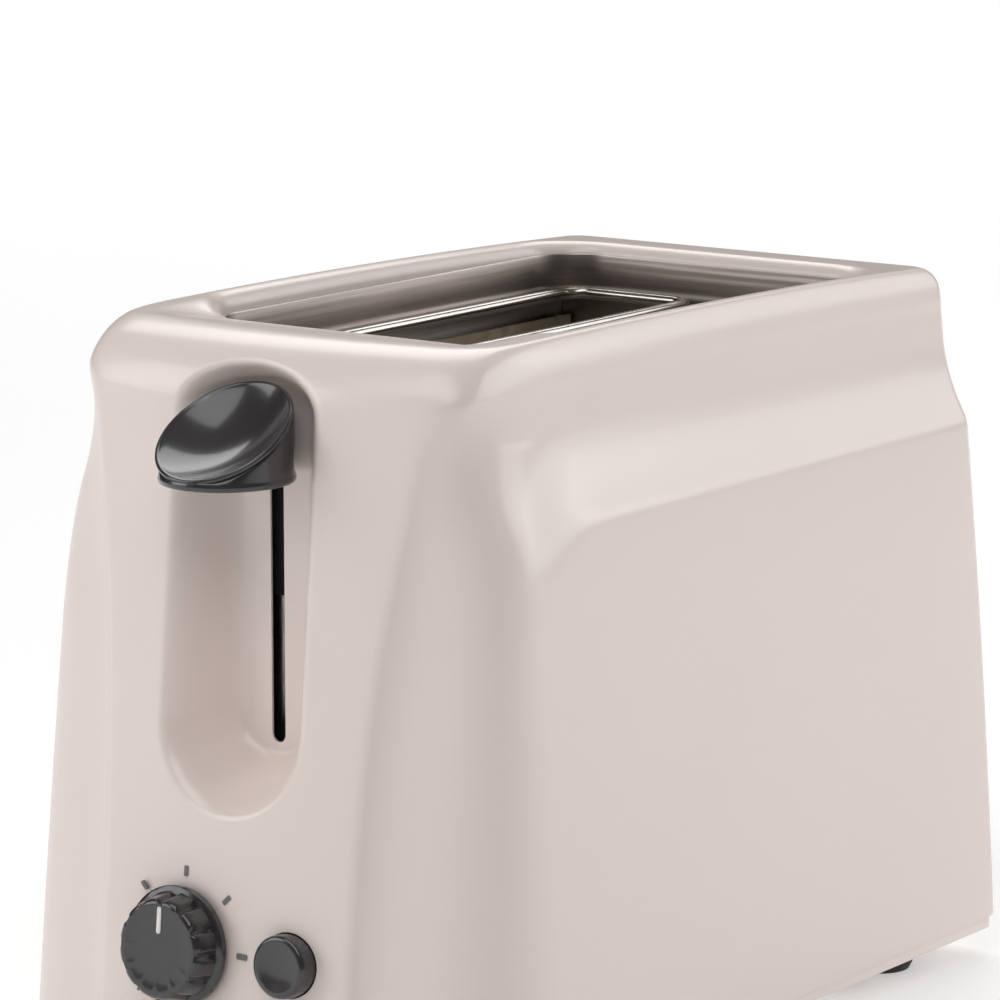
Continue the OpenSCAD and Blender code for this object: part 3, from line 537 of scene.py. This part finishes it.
def half_opening(off):
    """Right half of the bread opening's outline, with the points of a half ring."""
    r, cx, cy = WELL_R + off, WELL_HALF_X - WELL_R, WELL_HALF_Y - WELL_R
    x = np.linspace(0, cx, COUNTS["scoop"] + COUNTS["band"] + 1)
    parts = [np.stack([x, np.full(len(x), -WELL_HALF_Y - off)], 1)]
    a = np.linspace(0, math.pi / 2, COUNTS["edge"] + COUNTS["valley"] + 1)[1:]
    parts.append(np.stack([cx + r * np.sin(a), -cy - r * np.cos(a)], 1))
    y = np.linspace(-cy, cy, COUNTS["side"] + 1)[1:]
    parts.append(np.stack([np.full(len(y), cx + r), y], 1))
    a = np.linspace(0, math.pi / 2, COUNTS["corner"] + 1)[1:]
    parts.append(np.stack([cx + r * np.cos(a), cy + r * np.sin(a)], 1))
    x = np.linspace(cx, 0, COUNTS["back"] + 1)[1:]
    parts.append(np.stack([x, np.full(len(x), cy + r)], 1))
    return np.concatenate(parts)


def whole_ring(half, d):
    """Both halves of a ring, in place, with the top's crown."""
    mirrored = half[-2:0:-1] * [-1, 1]
    ring = np.concatenate([half, mirrored])
    rise = -CROWN * ((ring[:, 1] - CROWN_Y) / CROWN_SPAN) ** 2 * max(0.0, 1 - d / PAD_TOP_D)
    return np.column_stack([ring[:, 0], ring[:, 1] + WELL_Y, CREST_Z - d + rise])


def top_ring(half, d):
    """Ring of the top or the lip: in front of the opening the top rolls softly down to it."""
    ring = whole_ring(half, d)
    x, y = np.abs(ring[:, 0]), ring[:, 1] - WELL_Y
    ahead = smooth((y - ROLL_Y) / ROLL_RUN_Y) * (y < 0)
    roll = ahead * (1 - smooth((x - ROLL_HALF_X) / ROLL_FADE_X))
    ring[:, 2] -= FRONT_ROLL * roll * (1 - d / LIP_FOOT)
    return ring


def shell_rings():
    """Rings up the outside, over the top, down the lip and down the inside to the foot."""
    foot = [whole_ring(half_ring(d, inset), d) for d, inset in ((DEPTH, 0.7), (DEPTH - 0.2, 0.2))]
    # closer together at the scoop's foot, the pad's ridge and the top rounding
    steps = np.concatenate([
        np.arange(DEPTH - 0.7, 117, -4.0), np.arange(116, 84, -0.8), np.arange(84, 47, -1.5),
        np.arange(46.8, 37, -0.6), np.arange(37, 16, -1.0),
        FALL_R * (1 - np.cos(np.linspace(math.pi / 2, 0, 26)))])
    rings = foot + [whole_ring(half_ring(d), d) for d in steps]
    crest, edge = half_ring(0.0), half_opening(LIP_R)
    rings += [top_ring(lerp(crest, edge, t), 0.0) for t in np.linspace(0.06, 0.97, 15)]
    for a in np.linspace(0, math.pi / 2, 9):
        rings.append(top_ring(half_opening(LIP_R * (1 - math.sin(a))), LIP_R * (1 - math.cos(a))))
    rings += [whole_ring(half_opening(off), LIP_FOOT) for off in (0, 2.4)]
    inner = [5, 8, 11.5, 14, 18, 22, 26, 30, 34, 38, 42, 48, 58, 73, 84, 90, 94, 97, 100, 103, 106,
             109, 112, 117, 133, DEPTH - WALL]
    return rings + [whole_ring(half_ring(d, WALL), d + WALL) for d in inner]


RAKE = math.atan(END_RAKE)
FACE_Y = WELL_Y - END_REACH


def on_face(obj, x, z):
    """Stand an object made about Z on the raked lever end: Z points straight out, Y up the face."""
    y = FACE_Y - END_RAKE * (CREST_Z - z)
    place = Vector((x, y, z))
    turn = Matrix.Rotation(math.pi / 2 - RAKE, 4, "X")
    obj.data.transform(Matrix.Translation(place * MM) @ turn)
    obj.data.update()
    return obj


DIAL_X, DIAL_Z = -10.0, 40.0
BUTTON_X, BUTTON_R = 21.0, 7.5
SLOT_W, SLOT_FOOT_Z, SLOT_TOP_Z = 4.0, CREST_Z - 97.9, 166.0
BOSSES = [(-69.4, -66), (69.4, -66), (-69.4, 104), (69.4, 104)]
POSTS = [(-29, 20), (29, 20), (-29, -18), (29, -18)]
BOARD_BACK = -22.4
BOSS_R, BOSS_H, BOSS_HOLE_R, BOSS_HOLE_H = 5, 20, 1.6, 15
POST_R, POST_HOLE_R = 3.2, 1.1
SHAFT_HOLE_R, BUTTON_GAP = 4.5, 0.3
MOUTH_HALF, MOUTH_H = 47.5, 11.6


def rod(r, low, high, n=32):
    return turned("rod", [(r, low), (r, high)], n)


def shift(obj, x, y, z=0.0):
    obj.data.transform(Matrix.Translation(Vector((x, y, z)) * MM))
    return obj


def slot_cutter():
    """Upright slot with round ends, cut along Y and relieved from behind to a thin edge."""
    a = np.linspace(0, math.pi, 13)
    rings = []
    for past, extra in ((-15, 0.0), (0.6, 0.0), (2.4, 2.0), (15, 2.0)):
        r = SLOT_W / 2 + extra
        top = np.stack([r * np.cos(a), SLOT_TOP_Z - SLOT_W / 2 + r * np.sin(a)], 1)
        low = np.stack([-r * np.cos(a), SLOT_FOOT_Z + SLOT_W / 2 - r * np.sin(a)], 1)
        loop = np.concatenate([top, low])
        y = np.full(len(loop), WELL_Y + SCOOP_FLOOR + past)
        rings.append(np.column_stack([loop[:, 0], y, loop[:, 1]]))
    return ring_mesh("slot_cutter", rings)


def at_posts(r, low, high):
    """A rod on each of the circuit board's posts, square to the lever end."""
    return [on_face(rod(r, low, high), x, DIAL_Z + y * math.cos(RAKE)) for x, y in POSTS]


def make_shell():
    shell = ring_mesh("shell_skin", shell_rings(), closed=True)
    bosses = [shift(rod(BOSS_R, FOOT_Z, FOOT_Z + BOSS_H), x, y) for x, y in BOSSES]
    combine(shell, bosses + at_posts(POST_R, BOARD_BACK, -3), "UNION")
    back = WELL_Y + BACK_REACH
    cuts = [slot_cutter(), on_face(rod(SHAFT_HOLE_R, -6, 6), DIAL_X, DIAL_Z),
            on_face(rod(BUTTON_R + BUTTON_GAP, -6, 6, 64), BUTTON_X, DIAL_Z),
            block((-MOUTH_HALF, back - 12, FOOT_Z - 1), (MOUTH_HALF, back + 28, FOOT_Z + MOUTH_H))]
    cuts += [shift(rod(BOSS_HOLE_R, FOOT_Z - 1, FOOT_Z + BOSS_HOLE_H), x, y) for x, y in BOSSES]
    cuts += at_posts(POST_HOLE_R, BOARD_BACK - 1.6, BOARD_BACK + 10.4)
    combine(shell, cuts, "DIFFERENCE")
    clean(shell, 35)
    add_piece(shell, HOUSING, "white_plastic", WHITE, "outer_shell")


# ---------- lever knob ----------
KNOB_Y = WELL_Y - 126.8
KNOB_LOW_Z = CREST_Z - 32.5
REST_Z = CREST_Z - 22.4
DISH_TILT = math.radians(33)
DISH_A, DISH_B = 16.6, 18.0
ARM_T, ARM_Z, ARM_H, ARM_START, ARM_GAP = 2.4, 151.5, 6.0, 2.0, 0.1
REMESH_SIZE = 0.3


def ovals(name, a, b, profile):
    """Loft of ovals about Z from (scale, z) pairs, bottom to top."""
    n = 96
    rings = [at_height(circle(max(a * s, 0.02), n, max(b * s, 0.02)), z) for s, z in profile]
    return ring_mesh(name, rings)


def tilted(obj):
    """Put an object made about Z on the knob's tilted dish."""
    turn = Matrix.Rotation(DISH_TILT, 4, "X")
    obj.data.transform(Matrix.Translation(Vector((0, KNOB_Y, REST_Z)) * MM) @ turn)
    return obj


def hull_of(name, parts):
    """Convex hull of several meshes; the parts are used up."""
    obj = joined(name, parts)
    bm = bmesh.new()
    for vertex in obj.data.vertices:
        bm.verts.new(vertex.co)
    made = bmesh.ops.convex_hull(bm, input=bm.verts)
    inside = {g for key in ("geom_unused", "geom_interior") for g in made[key]}
    spare = [g for g in inside if isinstance(g, bmesh.types.BMVert)]
    bmesh.ops.delete(bm, geom=spare, context="VERTS")
    bm.to_mesh(obj.data)
    bm.free()
    clean(obj)
    return obj


def dish_z(s):
    """Height of the bowl's surface at a share of its half width."""
    return -2.2 + 4.9 * s**2.2


def make_knob():
    low = KNOB_LOW_Z
    foot = [(0.955, low), (0.985, low + 0.25), (1, low + 0.8), (1, low + 1.4), (0.98, low + 1.85),
            (0.95, low + 2.0)]
    base = shift(ovals("base", 15.8, 16.5, foot), 0, KNOB_Y)
    core = hull_of("core", [tilted(ovals("rest", 15.9, 17.3, [(1, -1.2), (1, 0.4)])),
                            shift(ovals("seat", 15.6, 16.3, [(1, low), (1, low + 2)]), 0, KNOB_Y)])
    column = shift(ovals("column", 15.7, 16.4, [(1, low), (1, low + 26)]), 0, KNOB_Y)
    combine(core, [column], "INTERSECT")
    # bowl hollowed out of the core, and the rounded gap behind, around the lever arm
    bowl = [(s, dish_z(s) - 0.7) for s in (0.02, 0.2, 0.35, 0.5, 0.62, 0.72, 0.8, 0.86, 0.9)]
    combine(core, [tilted(ovals("bowl", DISH_A, DISH_B, bowl + [(0.9, 12)]))], "DIFFERENCE")
    gap_low, gap_high, gap_y = low + 2.0, low + 9.2, KNOB_Y + 7.0
    r = (gap_high - gap_low) / 2
    a = np.linspace(math.pi / 2, 3 * math.pi / 2, 17)
    loop = [(gap_y + r + r * math.cos(t), gap_low + r + r * math.sin(t)) for t in a]
    loop += [(gap_y + 24, gap_low), (gap_y + 24, gap_high)]
    gap = ring_mesh("gap", [np.array([(x, y, z) for y, z in loop]) for x in (-20.0, 20.0)])
    half_t = ARM_T / 2 + ARM_GAP
    arm = block((-half_t, KNOB_Y + ARM_START - ARM_GAP, ARM_Z - ARM_GAP),
                (half_t, KNOB_Y + 25, ARM_Z + ARM_H + ARM_GAP))
    combine(core, [gap], "DIFFERENCE")
    combine(core, [arm], "DIFFERENCE")
    # thin saucer with a rounded rim
    under = [(0.02, -3.4), (0.3, -3.1), (0.55, -2.2), (0.75, -1.0), (0.9, 0.15), (0.965, 0.8),
             (0.99, 1.15)]
    rim = [(1.0, 1.5), (1.0, 1.8), (0.99, 2.15), (0.972, 2.32), (0.953, 2.3), (0.935, 2.05)]
    dish = [(s, dish_z(s)) for s in (0.91, 0.86, 0.8, 0.72, 0.62, 0.5, 0.35, 0.2, 0.08, 0.01)]
    saucer = tilted(ovals("saucer", DISH_A, DISH_B, under + rim + dish))
    knob = joined("lever_knob_cap", [core, base])
    baked(knob, ("REMESH", {"mode": "VOXEL", "voxel_size": REMESH_SIZE * MM, "adaptivity": 0.0}))
    baked(knob, ("SMOOTH", {"factor": 0.5, "iterations": 5}))
    combine(knob, [saucer], "UNION")
    clean(knob, 50)
    add_piece(knob, CARRIAGE, "dark_plastic", CHARCOAL, "lever_knob")


# ---------- well liner ----------
SLOT_X, SLOT_Y, SLOT_OFF, SLOT_R = 36.0, 142.0, 23.5, 5.0
FLOOR_Z = CREST_Z - 15.5
SHEET = 0.8
BEAD_R = 1.5
TUB_FILLET, TUB_GAP = 2.6, 0.3


def make_liner():
    """Drawn metal tub with a filleted floor, two slots and rolled lips around them."""
    top_z = CREST_Z - LIP_FOOT + 1
    outer_x, outer_y, outer_r = WELL_HALF_X - TUB_GAP, WELL_HALF_Y - TUB_GAP, WELL_R - TUB_GAP
    rings = []

    def ring(off, z, r):
        rings.append(at_height(rounded_rect(outer_x - off, outer_y - off, r, 14), z))

    for s in (30, 8, 4):
        ring(s, FLOOR_Z - SHEET, max(outer_r - s, 2.0))
    for a in np.linspace(0, math.pi / 2, 6):
        off = (TUB_FILLET + SHEET) * (1 - math.sin(a))
        ring(off, FLOOR_Z - SHEET + (TUB_FILLET + SHEET) * (1 - math.cos(a)), outer_r - off)
    ring(0, top_z - 0.3, outer_r)
    ring(0.15, top_z, outer_r - 0.15)
    ring(SHEET - 0.15, top_z, outer_r - SHEET + 0.15)
    ring(SHEET, top_z - 0.3, outer_r - SHEET)
    for a in np.linspace(math.pi / 2, 0, 8):
        off = SHEET + TUB_FILLET * (1 - math.sin(a))
        ring(off, FLOOR_Z + TUB_FILLET * (1 - math.cos(a)), outer_r - off)
    for s in (5, 8, 30):
        ring(s, FLOOR_Z, max(outer_r - s, 2.0))
    tub = ring_mesh("well_tub", rings)
    shift(tub, 0, WELL_Y)
    cuts, beads = [], []
    for side in (-1, 1):
        loop = rounded_rect(SLOT_X / 2, SLOT_Y / 2, SLOT_R, 10) + [side * SLOT_OFF, WELL_Y]
        cuts.append(ring_mesh("slot", [at_height(loop, z) for z in (FLOOR_Z - 3, FLOOR_Z + 3)]))
        path = rounded_rect(SLOT_X / 2 + BEAD_R, SLOT_Y / 2 + BEAD_R, SLOT_R + BEAD_R, 12)
        path = at_height(path + [side * SLOT_OFF, WELL_Y], FLOOR_Z + 0.6)
        beads.append(tube("bead", path, BEAD_R, 20, closed=True))
    combine(tub, cuts, "DIFFERENCE")
    clean(tub, 40)
    add_piece(tub, HOUSING, "tinned_sheet", WELL, "well_liner")
    # The lips take the lighter metal, whose extra brightness is a painted highlight.
    lips = joined("slot_lips", beads)
    clean(lips)
    add_piece(lips, HOUSING, "tinned_sheet", HIGHLIT_LIP, "well_liner")


# ---------- controls ----------
FLUTES, FLUTE_SHARE, SHAFT_R = 12, 0.085, 3.02
STROKES, STROKE_FROM, STROKE_STEP = 7, 225, 45


def make_dial():
    def fluted(angle, z):
        wave = np.clip(np.cos(FLUTES * angle), 0, 1) ** 2
        return 1 - FLUTE_SHARE * wave * (1.0 if 3.2 < z < 9.2 else 0.0)

    profile = [(14.1, 1.2), (14.45, 1.5), (14.5, 2.2), (14.4, 2.9), (14.0, 3.2), (13.1, 3.4),
               (12.9, 3.9), (12.6, 5.5), (12.2, 7.4), (11.9, 8.4), (11.55, 8.95), (11.0, 9.25),
               (10.4, 9.3), (9.4, 9.15), (7.5, 9.02), (5.0, 8.98), (2.0, 8.97)]
    dial = turned("browning_dial_cap", profile, 192, shape=fluted)
    combine(dial, [rod(SHAFT_R, 0, 6, 48)], "DIFFERENCE")
    clean(dial, 40)
    on_face(dial, DIAL_X, DIAL_Z)
    add_piece(dial, "dial", "dark_plastic", CHARCOAL, "browning_dial")
    line = rounded_rect(0.6, 3.2, 0.55, 6) + [0, 7.0]
    levels = [at_height(line, 8.6), at_height(line, 9.28), at_height(line * [0.9, 1], 9.34)]
    mark = ring_mesh("dial_pointer", levels)
    on_face(mark, DIAL_X, DIAL_Z)
    add_piece(mark, "dial", "white_plastic", INLAY)


def make_button():
    r = BUTTON_R
    profile = [(3.0, -9.7), (3.0, -2.6), (3.3, -2.5), (r - 0.2, -2.5), (r, -2.3), (r, 2.2),
               (r - 0.15, 2.8), (r - 0.6, 3.2), (r - 1.2, 3.35), (r - 1.8, 3.3), (r - 3.2, 3.05),
               (r - 5, 2.9), (1.0, 2.85)]
    button = turned("cancel_button_cap", profile, 96, 40)
    on_face(button, BUTTON_X, DIAL_Z)
    add_piece(button, "cancel", "dark_plastic", CHARCOAL, "cancel_button")


def make_scale():
    """Raised strokes around the dial, growing towards the darkest setting."""
    strokes = []
    for k in range(STROKES):
        a = math.radians(STROKE_FROM - STROKE_STEP * k)
        r0, r1, half = 16.4, 18.2 + 0.25 * k, 0.35 + 0.07 * k
        bar = rounded_rect((r1 - r0) / 2, half, 0.3, 4) + [(r0 + r1) / 2, 0]
        turn = np.array([[math.cos(a), math.sin(a)], [-math.sin(a), math.cos(a)]])
        bar = bar @ turn
        strokes.append(ring_mesh("stroke", [at_height(bar, z) for z in (-0.6, 0.12)]))
    marks = joined("browning_scale", strokes)
    clean(marks, 40)
    on_face(marks, DIAL_X, DIAL_Z)
    add_piece(marks, HOUSING, "dark_plastic", PRINT)


# ---------- lift spring ----------
COIL_TURNS, COIL_STEPS, COIL_R, COIL_WIRE_R = 18, 24, 3.0, 0.5
COIL_LOW, COIL_HIGH = 103.6, 160.4


def make_spring():
    lo, hi = corner("lift_spring", 0), corner("lift_spring", 1)
    x, y = (lo[:2] + hi[:2]) / 2
    total = COIL_TURNS * COIL_STEPS
    path = []
    for i in range(total + 1):
        a = i * 2 * math.pi / COIL_STEPS
        z = lerp(COIL_LOW, COIL_HIGH, i / total)
        path.append((x + COIL_R * math.cos(a), y + COIL_R * math.sin(a), z))
    spring = tube("lift_spring_coil", path, COIL_WIRE_R, 10)
    dress(spring, STEEL)
    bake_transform(spring)
    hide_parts("lift_spring")


# ---------- CAD nodes with eased edges, and finishes for the rest ----------
EASED_WIDTHS = {
    "tray_handle": 0.9, "base_pan": 0.5, "foot_front_left": 0.5, "foot_front_right": 0.5,
    "foot_rear_left": 0.5, "foot_rear_right": 0.5, "inlet_gland": 0.4, "crumb_tray": 0.2}
EASED_ANGLE = math.radians(30)
CAD_WELD_M = 2e-6


def eased(node, name, width):
    """A copy of a CAD node whose sharp edges are rounded."""
    obj = bpy.data.objects.new(name, frame["nodes"][node].data.copy())
    bpy.context.scene.collection.objects.link(obj)
    bm = bmesh.new()
    bm.from_mesh(obj.data)
    bmesh.ops.remove_doubles(bm, verts=bm.verts, dist=CAD_WELD_M)
    bmesh.ops.dissolve_limit(bm, angle_limit=math.radians(1), verts=bm.verts, edges=bm.edges)
    edges = [e for e in bm.edges if e.is_manifold and e.calc_face_angle(0) > EASED_ANGLE]
    bmesh.ops.bevel(bm, geom=edges, offset=width * MM, segments=2, affect="EDGES", profile=0.5,
                    clamp_overlap=True)
    bm.to_mesh(obj.data)
    bm.free()
    shade(obj, 40)
    return obj


def finish_nodes():
    slot_material = {
        "rubber": RUBBER, "tinned_sheet": TIN, "steel": STEEL, "mica": MICA, "ribbon": RIBBON,
        "copper": COPPER, "laminate": LAMINATE, "black_plastic": BLACK, "nylon": NYLON,
        "lead_sleeve": SLEEVE, "white_plastic": WHITE, "dark_plastic": CHARCOAL}
    slots = {part["node"]: part["material_slot"] for part in frame["record"]["subparts"]}
    for node, slot in slots.items():
        dress(frame["nodes"][node], slot_material[slot])
    # The lever arm gets the near-black steel whose darkness is painted shade for the gap beside the
    # knob.
    dress(frame["nodes"]["lever_arm"], GAP_SHADE_STEEL)
    for node, width in EASED_WIDTHS.items():
        add_piece(eased(node, node + "_eased", width), frame["nodes"][node]["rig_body"],
                  slots[node], slot_material[slots[node]], node)


# ---------- stage ----------
FLOOR_REACH = 12000.0


def make_stage():
    reach = FLOOR_REACH
    verts = [(-reach, -reach, 0), (reach, -reach, 0), (reach, reach, 0), (-reach, reach, 0)]
    floor = make_object("floor", verts, [(0, 1, 2, 3)])
    f = Finish("floor_paper", (0.70, 0.70, 0.70), 0.9)
    f.tint(f.noise(3.0), (0.68, 0.68, 0.68), 0.4, 0.6, 0.5)
    f.shader.inputs["Emission Color"].default_value = (1, 1, 1, 1)
    f.shader.inputs["Emission Strength"].default_value = 0.35
    dress(floor, f.material)


def lamp(name, place, aim, size, watts):
    """Square area lamp; places and sizes in metres."""
    data = bpy.data.lights.new(name, "AREA")
    data.shape = "SQUARE"
    data.size = size
    data.energy = watts
    obj = bpy.data.objects.new(name, data)
    bpy.context.scene.collection.objects.link(obj)
    obj.location = place
    obj.rotation_euler = (Vector(aim) - Vector(place)).to_track_quat("-Z", "Y").to_euler()


def make_world(lobes):
    """Broad soft lobes of warm white light, each given as (direction, sharpness, strength)."""
    world = bpy.data.worlds.new("studio")
    world.use_nodes = True
    tree = world.node_tree
    background = tree.nodes["Background"]
    background.inputs["Color"].default_value = (1.0, 0.985, 0.97, 1)
    way = tree.nodes.new("ShaderNodeTexCoord").outputs["Generated"]

    def maths(operation, *values):
        node = tree.nodes.new("ShaderNodeMath")
        node.operation = operation
        for socket, value in zip(node.inputs, values):
            if isinstance(value, bpy.types.NodeSocket):
                tree.links.new(value, socket)
            else:
                socket.default_value = value
        return node.outputs[0]

    total = 0.0
    for direction, sharpness, strength in lobes:
        dot = tree.nodes.new("ShaderNodeVectorMath")
        dot.operation = "DOT_PRODUCT"
        tree.links.new(way, dot.inputs[0])
        dot.inputs[1].default_value = Vector(direction).normalized()
        lobe = maths("POWER", maths("MAXIMUM", dot.outputs["Value"], 0.0), sharpness)
        total = maths("MULTIPLY_ADD", lobe, strength, total)
    tree.links.new(total, background.inputs["Strength"])
    bpy.context.scene.world = world


def make_lights():
    make_world([((0, 0, 1), 3, 0.2), ((0.85, 0.2, 0.5), 3, 0.1)])
    middle = (0, 0, 0.12)
    lamp("sweep", (-1.6, 2.2, 2.6), (-1.6, 2.2, 0.0), 3.0, 86.0)
    lamp("front_top", (-0.1, -0.7, 1.25), middle, 0.8, 4.5)
    lamp("front_key", (-0.95, -0.95, 0.6), middle, 0.8, 5.8)
    lamp("corner_light", (0.5, -0.75, 1.0), middle, 0.6, 2.8)
    lamp("side_fill", (1.1, 0.85, 0.55), middle, 0.8, 5.4)
    lamp("back_fill", (0.7, 1.3, 0.7), middle, 0.8, 4.0)


CAMERA_AT_M = (0.71786, WELL_Y * MM - 1.00913, 0.35783)
CAMERA_DOWN, CAMERA_ROUND = 10.538, 35.957


def make_camera():
    data = bpy.data.cameras.new("camera")
    data.lens, data.sensor_width = 180, 36
    data.clip_start, data.clip_end = 0.05, 60
    camera = bpy.data.objects.new("camera", data)
    bpy.context.scene.collection.objects.link(camera)
    camera.location = CAMERA_AT_M
    camera.rotation_euler = (math.radians(90 - CAMERA_DOWN), 0, math.radians(CAMERA_ROUND))
    bpy.context.scene.camera = camera
    bpy.context.scene.view_settings.view_transform = "Standard"


make_camera()
finish_nodes()
make_shell()
make_knob()
make_liner()
make_dial()
make_button()
make_scale()
make_spring()
make_stage()
make_lights()
